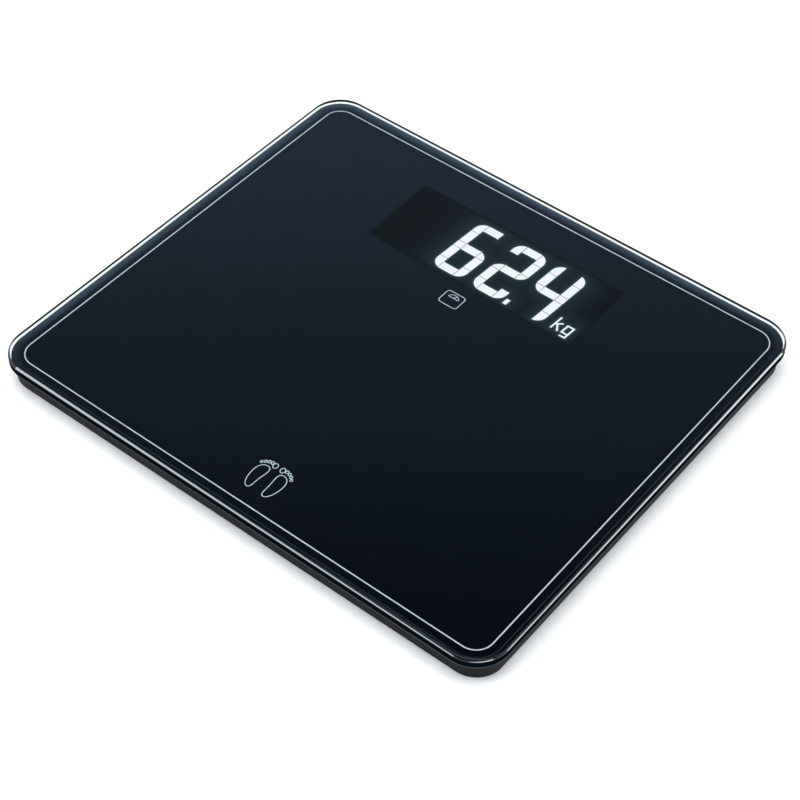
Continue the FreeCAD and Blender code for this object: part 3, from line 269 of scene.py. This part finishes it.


# The print is navy towards the rear left corner and almost black at the front, as one long gradient: partly
# the print's own colour, partly a painted reflection of the studio light in the glass.
def printWithPaintedReflection(paint, s):
    along = (paint.y - paint.x * s["reflectionFadeLean"]) / s["reflectionFadeLength"]
    paintedLightFade = paint.step(along + paint.noise(9.0, 2.0) * 0.04, *s["reflectionFadeEnds"])
    return paint.blend(paintedLightFade, s["printDeep"], s["printNavyAndReflection"])


def glassMaterial(s):
    paint = Paint("temperedGlass")
    inset = insetField(paint, glassWidth, glassDepth, s["corner"])
    onFace = paint.step(inset, s["bevel"] + s["soft"] * 1.5, s["bevel"] + s["soft"] * 1.6)
    onBevel = paint.step(paint.z, glassHigh.z - s["bevel"] * 1.15, glassHigh.z - s["bevel"] * 1.1)
    clear = paint.surface({"Base Color": asColour(s["tint"]), "Roughness": 0.0, "IOR": s["ior"],
                           "Transmission Weight": 1.0})
    lamps = paint.node("LightPath").outputs["Is Shadow Ray"]
    passing = paint.node("BsdfTransparent", {}, {"Color": asColour(s["shadowTint"])}).outputs[0]
    clear = paint.node("MixShader", {}, {0: lamps, 1: clear, 2: passing}).outputs[0]
    grind = paint.noise(400.0, 2.0)
    bevel = paint.surface({"Base Color": asColour(s["sideTint"]), "Roughness": grind * 0.03 + 0.05,
                           "IOR": s["ior"], "Specular IOR Level": 0.7})
    # painted highlight: a lighter band at the foot of the side face
    low = 1 - paint.step(paint.z, glassLow.z + s["paintedArrisHighlightHeight"] * 0.8, glassLow.z + s["paintedArrisHighlightHeight"])
    side = paint.surface({"Base Color": paint.blend(low, s["sideTint"], s["paintedArrisHighlight"]),
                          "Roughness": grind * 0.04 + 0.10, "IOR": s["ior"], "Specular IOR Level": 0.0})
    rim = paint.node("MixShader", {}, {0: onBevel, 1: side, 2: bevel}).outputs[0]
    under = 1 - paint.step(paint.z, glassLow.z + s["arris"] * 0.5, glassLow.z + s["arris"] * 0.6)
    share = paint.maths("MAXIMUM", onFace, under)
    return paint.finish(paint.node("MixShader", {}, {0: share, 1: rim, 2: clear}).outputs[0])


def makeGlass(s):
    points, faces = slab(glassWidth, glassDepth, s["corner"], glassProfile(s))
    glass = newPiece("glassPlatform", points, faces, "base", glassMaterial(s), 20)
    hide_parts("glass_top")


makeGlass(glassSettings)


printSettings = {
    "sink": 0.02 * mm,          # each layer reaches this much further into the glass than the last
    "inset": 1.7 * mm,
    "lineInset": 9.2 * mm,
    "lineWidth": 0.7 * mm,
    "lineCorner": 11.5 * mm,
    "silver": (0.44, 0.50, 0.56),
    # painted reflection along the rear and left edges: its colour and how far in it reaches
    "paintedEdgeReflection": (0.038, 0.055, 0.078),
    "paintedEdgeLightFade": (2.2 * mm, 8.0 * mm),
    # painted glint along the front and right edges: its colour and where it lies
    "paintedGlint": (0.016, 0.020, 0.026),
    "paintedGlintFrom": 4.1 * mm,
    "paintedGlintTo": 5.0 * mm,
    "paintedGlintSoft": 0.2 * mm,
    "root": 0.1 * mm,           # how far a printed line reaches below the print's top
}
printLow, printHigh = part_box("black_backing_print")
layer = [printHigh.z + i * printSettings["sink"] for i in range(1, 4)]


def makeBackingPrint(s):
    paint = Paint("blackPrint")
    inset = insetField(paint, glassWidth, glassDepth, glassSettings["corner"])
    # painted reflection: the rear and left edges are painted a lighter navy, as if catching the room,
    # fading inwards to the plain print
    turn = paint.y / (glassDepth / 2) - paint.x / (glassWidth / 2)
    far = paint.step(turn, -0.25, 0.35)
    paintedLightFade = 1 - paint.step(inset, *s["paintedEdgeLightFade"])
    colour = paint.blend(paintedLightFade * far, printWithPaintedReflection(paint, glassSettings), s["paintedEdgeReflection"])
    # painted glint: the front and right edges get a faint lighter line inside them instead
    glintStart, glintEnd = s["paintedGlintFrom"], s["paintedGlintTo"]
    line = (paint.step(inset, glintStart, glintStart + s["paintedGlintSoft"])
            * (1 - paint.step(inset, glintEnd - s["paintedGlintSoft"], glintEnd)))
    colour = paint.blend(line * (1 - far), colour, s["paintedGlint"])
    material = paint.finish(paint.surface({"Base Color": colour, "Roughness": paint.noise(60.0) * 0.2 + 0.5,
                                           "Specular IOR Level": 0.0}))
    points, faces = slab(glassWidth, glassDepth, glassSettings["corner"],
                         [(s["inset"], printLow.z), (s["inset"], layer[0])])
    piece = newPiece("backingPrint", points, faces, "base", material)
    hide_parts("black_backing_print")


# A closed frame line: a flat strip between two rounded rings.
def frameStrip(width, depth, corner, thick, low, high, steps=24):
    rings = [(0, low), (thick, low), (thick, high), (0, high), (0, low)]
    points = np.concatenate([np.c_[roundedRing(width - 2 * i, depth - 2 * i, corner - i, steps),
                                   np.full(4 * steps, h)] for i, h in rings[:4]])
    count = 4 * steps
    quads = np.array(ringFaces(5, count))
    return points, (quads[:, ::-1] % (4 * count)).tolist()


def makeSilverLine(s):
    paint = Paint("silverPrint")
    grain = paint.noise(2500.0, 2.0)
    colour = paint.blend(grain, s["silver"], tuple(v * 0.86 for v in s["silver"]))
    material = paint.finish(paint.surface({"Base Color": colour, "Roughness": grain * 0.1 + 0.42,
                                           "Metallic": 0.25}))
    points, faces = frameStrip(glassWidth - 2 * s["lineInset"], glassDepth - 2 * s["lineInset"],
                               s["lineCorner"], s["lineWidth"], printHigh.z - s["root"], layer[1])
    piece = newPiece("silverFrameLine", points, faces, "base", material)
    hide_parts("silver_border_print")


signSettings = {
    "stroke": 0.45 * mm,
    "colour": (0.40, 0.46, 0.52),
    "scaleSign": (-0.5 * mm, 50 * mm, 13 * mm),     # where (x, y) and how wide
    "feetSign": (6 * mm, -123 * mm, 32 * mm),
    # a foot's toes from the big one outwards, in widths of the sign: middle x, y and half width
    "toes": ((-0.118, 0.300, 0.044), (-0.036, 0.322, 0.026), (0.028, 0.308, 0.024), (0.084, 0.276, 0.022),
             (0.132, 0.228, 0.020)),
}


# A line of the sign: a flat ribbon along a path. Each point is pushed half the stroke to both sides
# of the path, along the normal there.
def ribbonMesh(path, stroke, low, high, closed):
    path = np.asarray(path, float)
    if closed:
        ahead, behind = np.roll(path, -1, 0), np.roll(path, 1, 0)
    else:
        ahead, behind = np.r_[path[1:], path[-1:]], np.r_[path[:1], path[:-1]]
    along = ahead - behind
    along /= np.linalg.norm(along, axis=1)[:, None]
    side = np.stack([-along[:, 1], along[:, 0]], 1) * stroke / 2
    ring = [(path + side, low), (path - side, low), (path - side, high), (path + side, high)]
    points = np.stack([np.c_[edge, np.full(len(path), height)] for edge, height in ring], 1).reshape(-1, 3)
    last = len(path) if closed else len(path) - 1
    faces = []
    for i in range(last):
        here, there = i * 4, (i + 1) % len(path) * 4
        faces += [(here + j, here + (j + 1) % 4, there + (j + 1) % 4, there + j) for j in range(4)]
    if not closed:
        faces += [(3, 2, 1, 0), tuple(4 * last + j for j in range(4))]
    return points, faces


# An ellipse, or the part of it between two angles in degrees.
def ellipsePath(centre, radii, steps, start=0.0, end=360.0):
    closed = end - start >= 360
    angle = np.radians(np.linspace(start, end, steps, endpoint=not closed))
    return np.stack([centre[0] + radii[0] * np.cos(angle), centre[1] + radii[1] * np.sin(angle)], 1), closed


# A scale seen from above, a rounded square with a dial window, as a list of (path, closed) about the
# sign's own middle, one unit wide.
def scaleSignPaths():
    paths = [(roundedRing(1.0, 0.86, 0.16, 8), True)]
    paths.append(ellipsePath((0, 0.10), (0.27, 0.20), 20, 0, 180))
    paths.append((np.array([(-0.27, 0.10), (0.27, 0.10)]), False))
    paths.append((np.array([(0, 0.12), (0.09, 0.25)]), False))
    return paths


# One footprint, a sole and five toes, in the same way. The sole is an egg shape in polar form: its
# half width swells towards the ball and its middle line bows.
def footPaths(middle, mirror):
    def put(path, closed):
        return np.c_[middle + mirror * path[:, 0], path[:, 1]], closed
    angle = np.linspace(0, 2 * math.pi, 60, endpoint=False)
    width = 0.125 + 0.030 * np.sin(angle) - 0.020 * np.cos(2 * angle)
    sole = np.stack([width * np.cos(angle) + 0.02 * np.cos(2 * angle), 0.28 * np.sin(angle) - 0.06], 1)
    toes = [ellipsePath((x, y), (size, 1.3 * size), 20) for x, y, size in signSettings["toes"]]
    return [put(path, closed) for path, closed in [(sole, True), *toes]]


def makeSigns(s):
    paint = Paint("signPrint")
    grain = paint.noise(2500.0, 2.0)
    colour = paint.blend(grain, s["colour"], tuple(v * 0.9 for v in s["colour"]))
    material = paint.finish(paint.surface({"Base Color": colour, "Roughness": grain * 0.1 + 0.42}))
    signs = [(s["scaleSign"], scaleSignPaths()), (s["feetSign"], footPaths(-0.2, -1) + footPaths(0.2, 1))]
    points, faces = [], []
    for (x, y, size), paths in signs:
        for path, closed in paths:
            more, quads = ribbonMesh(path * size + (x, y), s["stroke"], printHigh.z - printSettings["root"],
                                     layer[2], closed)
            first = sum(len(p) for p in points)
            points.append(more)
            faces += [tuple(first + i for i in quad) for quad in quads]
    newPiece("printedSigns", np.concatenate(points), faces, "base", material)


makeBackingPrint(printSettings)
makeSilverLine(printSettings)
makeSigns(signSettings)
print("glass and prints made")


displaySettings = {
    "digit": (0.915, 0.94, 1.0),
    "digitCore": (0.92, 0.96, 1.0),
    "digitBase": (0.03, 0.03, 0.03),
    "digitLight": 0.93,
    "film": (0.0006, 0.0008, 0.0010),
    "glowTint": (0.40, 0.80, 1.0),
    "closeGlow": 0.13,          # thin bright rim round each segment
    "closeReach": 0.45 * mm,
    "wideGlow": 0.034,          # broad painted glow in the smoked film
    "wideReach": 8.0 * mm,
    "paintedEdgeLightFade": 3 * mm,         # the glow dies out towards the window's edge
    "outlineStep": 0.3 * mm,
    "gridStep": 0.6 * mm,
    "root": 0.2 * mm,           # how far the lit marks reach below the print's top
    "filmSink": 0.02 * mm,
    "filmGap": 0.004 * mm,      # keeps the film's top apart from the frame line's
}


# The lit marks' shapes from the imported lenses: all corner points, and the triangles between them.
def lensTriangles(node):
    mesh = frame["nodes"][node].data
    mesh.calc_loop_triangles()
    points = np.zeros(len(mesh.vertices) * 3)
    mesh.vertices.foreach_get("co", points)
    corners = np.zeros(len(mesh.loop_triangles) * 3, int)
    mesh.loop_triangles.foreach_get("vertices", corners)
    return points.reshape(-1, 3), corners.reshape(-1, 3)


# Points along the outline of the flat top: the edges that only one top triangle has.
def outlinePoints(points, triangles, spacing):
    top = points[:, 2].max()
    flat = triangles[(points[triangles][:, :, 2] > top - 1e-6).all(1)]
    keys, merged = np.unique(np.round(points[:, :2] * 1e7).astype(np.int64), axis=0, return_inverse=True)
    merged = merged.reshape(-1)
    edges = np.sort(merged[np.concatenate([flat[:, [0, 1]], flat[:, [1, 2]], flat[:, [2, 0]]])], axis=1)
    edges, seen = np.unique(edges, axis=0, return_counts=True)
    start, end = (keys[edges[seen == 1][:, i]] / 1e7 for i in (0, 1))
    share = np.linspace(0, 1, 24)[None, :, None]
    line = (start[:, None] + (end - start)[:, None] * share).reshape(-1, 2)
    return line[np.unique(np.round(line / spacing).astype(int), axis=0, return_index=True)[1]]


# The distance from each point to the nearest target, worked out a few thousand points at a time.
def nearest(points, targets):
    out = np.empty(len(points))
    for i in range(0, len(points), 4000):
        gap = points[i:i + 4000, None] - targets[None]
        out[i:i + 4000] = np.sqrt((gap ** 2).sum(-1)).min(1)
    return out


# A flat closed slab as a fine grid: its top rows and columns, the same below, and four walls.
def gridSlab(low, high, bottom, top, spacing):
    across = np.linspace(low.x, high.x, int((high.x - low.x) / spacing) + 1)
    along = np.linspace(low.y, high.y, int((high.y - low.y) / spacing) + 1)
    x, y = np.meshgrid(across, along)
    rows, columns = x.shape
    points = np.concatenate([np.stack([x, y, np.full(x.shape, height)], -1).reshape(-1, 3)
                             for height in (top, bottom)])
    i, j = np.meshgrid(np.arange(rows - 1), np.arange(columns - 1), indexing="ij")
    first = (i * columns + j).ravel()
    quads = np.stack([first, first + 1, first + columns + 1, first + columns], 1)
    count = rows * columns
    edge = np.concatenate([np.arange(columns), np.arange(1, rows) * columns + columns - 1,
                           (rows - 1) * columns + np.arange(columns - 2, -1, -1),
                           np.arange(rows - 2, 0, -1) * columns])
    after = np.roll(edge, -1)
    walls = np.stack([edge, edge + count, after + count, after], 1)
    return points, np.concatenate([quads, quads[:, ::-1] + count, walls]).tolist()


def makeDisplay(s):
    points, triangles = lensTriangles("lit_segment_lenses")
    outline = outlinePoints(points, triangles, s["outlineStep"])
    low, high = points[:, 2].min(), points[:, 2].max()
    share = (points[:, 2] - low) / (high - low)
    marks = np.c_[points[:, :2], printHigh.z - s["root"] + share * (layer[2] - printHigh.z + s["root"])]

    paint = Paint("litSegment")
    core = paint.noise(900.0, 2.0)
    colour = paint.blend(core, s["digit"], s["digitCore"])
    lit = paint.finish(paint.surface({"Base Color": asColour(s["digitBase"]), "Roughness": 0.4,
                                      "Emission Color": colour, "Emission Strength": s["digitLight"]}))
    piece = newPiece("litSegments", marks, triangles.tolist(), "base", lit)
    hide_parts("lit_segment_lenses")

    # the smoked film is painted with a glow as emission, lighter near the lit marks; it is no lamp
    paint = Paint("smokedFilm")
    glow = paint.node("Attribute", {"attribute_name": "glow"}).outputs["Fac"]
    dust = paint.noise(1500.0, 3.0)
    glowColour = paint.blend(glow, (0.0, 0.0, 0.0), s["glowTint"])
    film = paint.finish(paint.surface({
        "Base Color": paint.blend(dust, s["film"], tuple(v * 1.3 for v in s["film"])), "Roughness": 0.35,
        "Specular IOR Level": 0.0, "Emission Color": glowColour, "Emission Strength": 1.0}))
    points, faces = gridSlab(windowLow, windowHigh, windowLow.z - s["filmSink"], layer[1] - s["filmGap"],
                             s["gridStep"])
    gap = nearest(points[:, :2], outline)
    glow = s["closeGlow"] * np.exp(-(gap / s["closeReach"]) ** 1.2)
    glow += s["wideGlow"] * np.exp(-gap / s["wideReach"])
    halfDepth, middle = (windowHigh.y - windowLow.y) / 2, (windowHigh.y + windowLow.y) / 2
    edge = np.minimum(windowHigh.x - np.abs(points[:, 0]), halfDepth - np.abs(points[:, 1] - middle))
    glow *= np.clip(edge / s["paintedEdgeLightFade"], 0, 1) ** 0.5
    piece = newPiece("smokedFilm", points, faces, "base", film)
    values = piece.data.attributes.new("glow", "FLOAT", "POINT")
    values.data.foreach_set("value", glow.astype(np.float32))
    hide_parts("smoked_window")


makeDisplay(displaySettings)
print("display made")


# A moulded or rolled surface: two sizes of unevenness in colour, roughness and height.
def grainy(name, colour, roughness, grain, height, metallic=0.0, vary=0.12, stretch=(1, 1, 1), extra=None):
    paint = Paint(name)
    broad, fine = paint.noise(35.0, 3.0), paint.noise(grain, 3.0, stretch)
    tone = paint.blend(broad, tuple(v * (1 - vary) for v in colour), tuple(v * (1 + vary) for v in colour))
    rough = roughness + (fine - 0.5) * 0.12 + (broad - 0.5) * 0.08
    sockets = {"Base Color": tone, "Roughness": rough, "Metallic": metallic,
               "Normal": paint.bump(fine, height, 0.6), **(extra or {})}
    return paint.finish(paint.surface(sockets))


finishes = {
    "tray_plastic": grainy("trayPlastic", (0.0065, 0.0065, 0.0070), 0.5, 2600.0, 0.06 * mm,
                            extra={"Specular IOR Level": 0.06}),
    "tape_foam": grainy("tapeFoam", (0.02, 0.02, 0.022), 0.9, 1800.0, 0.1 * mm),
    "cover_plastic": grainy("coverPlastic", (0.021, 0.021, 0.023), 0.48, 3000.0, 0.05 * mm),
    "battery_shell": grainy("batteryShell", (0.04, 0.12, 0.30), 0.3, 600.0, 0.01 * mm, 0.4),
    "contact_metal": grainy("contactMetal", (0.75, 0.74, 0.70), 0.25, 2500.0, 0.01 * mm, 1.0),
    "red_wire": grainy("redWire", (0.50, 0.02, 0.02), 0.45, 1500.0, 0.02 * mm),
    "black_wire": grainy("blackWire", (0.02, 0.02, 0.02), 0.45, 1500.0, 0.02 * mm),
    "button_plastic": grainy("buttonPlastic", (0.10, 0.10, 0.105), 0.4, 3000.0, 0.02 * mm),
    "chip_black": grainy("chipEpoxy", (0.014, 0.014, 0.014), 0.5, 2500.0, 0.03 * mm),
    "board_laminate": grainy("solderMask", (0.012, 0.13, 0.05), 0.28, 700.0, 0.03 * mm),
    "can_metal": grainy("drawnCan", (0.72, 0.73, 0.75), 0.3, 900.0, 0.01 * mm, 1.0),
    "plug_plastic": grainy("plugNylon", (0.80, 0.77, 0.68), 0.45, 2000.0, 0.02 * mm),
    "led_lens": grainy("ledLens", (0.9, 0.84, 0.45), 0.25, 2000.0, 0.01 * mm),
    "reflector_plastic": grainy("reflectorPlastic", (0.05, 0.05, 0.055), 0.6, 2200.0, 0.03 * mm),
    "dark_lens": grainy("darkLens", (0.03, 0.032, 0.035), 0.35, 1500.0, 0.01 * mm),
    "gasket_foam": grainy("gasketFoam", (0.02, 0.02, 0.02), 0.9, 1500.0, 0.08 * mm),
    "ribbon_grey": grainy("ribbonCable", (0.45, 0.45, 0.46), 0.4, 400.0, 0.05 * mm, stretch=(8, 0.2, 1)),
    "holder_plastic": grainy("holderNylon", (0.68, 0.68, 0.65), 0.45, 2500.0, 0.02 * mm),
    "foot_plastic": grainy("footPlastic", (0.028, 0.028, 0.03), 0.42, 2800.0, 0.03 * mm),
    "foot_rubber": grainy("footRubber", (0.055, 0.055, 0.057), 0.75, 1600.0, 0.06 * mm),
    "cell_steel": grainy("cellSteel", (0.55, 0.55, 0.57), 0.32, 500.0, 0.01 * mm, 1.0, stretch=(1, 12, 1)),
    "gauge_film": grainy("gaugeFilm", (0.60, 0.28, 0.05), 0.3, 900.0, 0.01 * mm),
    "cable_sheath": grainy("cableSheath", (0.72, 0.72, 0.73), 0.4, 1200.0, 0.02 * mm),
    "screw_steel": grainy("screwSteel", (0.62, 0.62, 0.64), 0.3, 1500.0, 0.01 * mm, 1.0),
}


def dressNodes():
    slots = {row["node"]: row["material_slot"] for row in frame["record"]["subparts"]}
    for name, node in frame["nodes"].items():
        if node.hide_render:
            continue
        node.data.materials.clear()
        node.data.materials.append(finishes[slots[name]])


dressNodes()
print("packed parts dressed")


studioSettings = {
    "floor": (0.87, 0.862, 0.85),
    "floorSide": 14.0,
    "floorGap": 0.1 * mm,       # below the rubber pads
    # how bright the room is at each height above the horizon, as the sine of the angle
    "room": [(0.0, (1.0, 1.0, 1.0)), (0.42, (0.95, 0.97, 1.0)), (0.56, (0.36, 0.46, 0.58)),
             (0.64, (0.16, 0.21, 0.28)), (0.73, (0.085, 0.115, 0.15)), (0.83, (0.03, 0.05, 0.075)),
             (1.0, (0.08, 0.09, 0.10))],
    # softboxes: where each stands as (azimuth from -Y towards +X, elevation, distance), size, brightness
    "front": {"at": (-30, 25.5, 2.4), "size": (1.5, 0.7), "light": 8.5, "tint": (0.86, 0.94, 1.0)},
    "side": {"at": (125.5, 16, 2.4), "size": (1.05, 0.5), "light": 11.0, "tint": (0.88, 0.95, 1.0)},
    "near": {"at": (53, 32, 2.4), "size": (2.0, 0.4), "light": 8.0, "tint": (0.86, 0.94, 1.0)},
    "over": {"at": (20, 84, 2.4), "size": (2.0, 2.0), "light": 4.6, "tint": (1.0, 0.985, 0.96)},
}


def makeFloor(s):
    paint = Paint("floorPaint")
    tone = paint.noise(3.0, 2.0)
    colour = paint.blend(tone, s["floor"], tuple(v * 0.99 for v in s["floor"]))
    material = paint.finish(paint.surface({"Base Color": colour, "Roughness": 0.85,
                                           "Specular IOR Level": 0.0}))
    half = s["floorSide"] / 2
    mesh = bpy.data.meshes.new("studioFloor")
    corners = [(-half, -half), (half, -half), (half, half), (-half, half)]
    mesh.from_pydata([(x, y, -s["floorGap"]) for x, y in corners], [], [(0, 1, 2, 3)])
    mesh.materials.append(material)
    floor = bpy.data.objects.new("studioFloor", mesh)
    bpy.context.scene.collection.objects.link(floor)


def makeRoom(s):
    world = bpy.data.worlds.new("studioRoom")
    bpy.context.scene.world = world
    world.use_nodes = True
    tree = world.node_tree
    tree.nodes.clear()
    spot = tree.nodes.new("ShaderNodeTexCoord")
    split = tree.nodes.new("ShaderNodeSeparateXYZ")
    ramp = tree.nodes.new("ShaderNodeValToRGB")
    light = tree.nodes.new("ShaderNodeBackground")
    out = tree.nodes.new("ShaderNodeOutputWorld")
    setStops(ramp.color_ramp, s["room"])
    ramp.color_ramp.interpolation = "EASE"
    tree.links.new(spot.outputs["Generated"], split.inputs[0])
    tree.links.new(split.outputs[2], ramp.inputs[0])
    tree.links.new(ramp.outputs[0], light.inputs[0])
    tree.links.new(light.outputs[0], out.inputs[0])


# Area light power for a wanted brightness: brightness x pi x area.
def makeSoftbox(name, box):
    azimuth, elevation = math.radians(box["at"][0]), math.radians(box["at"][1])
    away = Vector((math.sin(azimuth) * math.cos(elevation), -math.cos(azimuth) * math.cos(elevation),
                   math.sin(elevation)))
    data = bpy.data.lights.new(name, "AREA")
    data.shape = "RECTANGLE"
    data.size, data.size_y = box["size"]
    data.color = box["tint"]
    data.energy = box["light"] * math.pi * data.size * data.size_y
    lamp = bpy.data.objects.new(name, data)
    bpy.context.scene.collection.objects.link(lamp)
    lamp.rotation_mode = "QUATERNION"
    lamp.rotation_quaternion = away.to_track_quat("Z", "Y")
    lamp.location = away * box["at"][2]


makeFloor(studioSettings)
makeRoom(studioSettings)
for boxName in ("front", "side", "near", "over"):
    makeSoftbox(boxName + "Softbox", studioSettings[boxName])
bpy.context.scene.view_settings.view_transform = "Standard"
print("studio made")
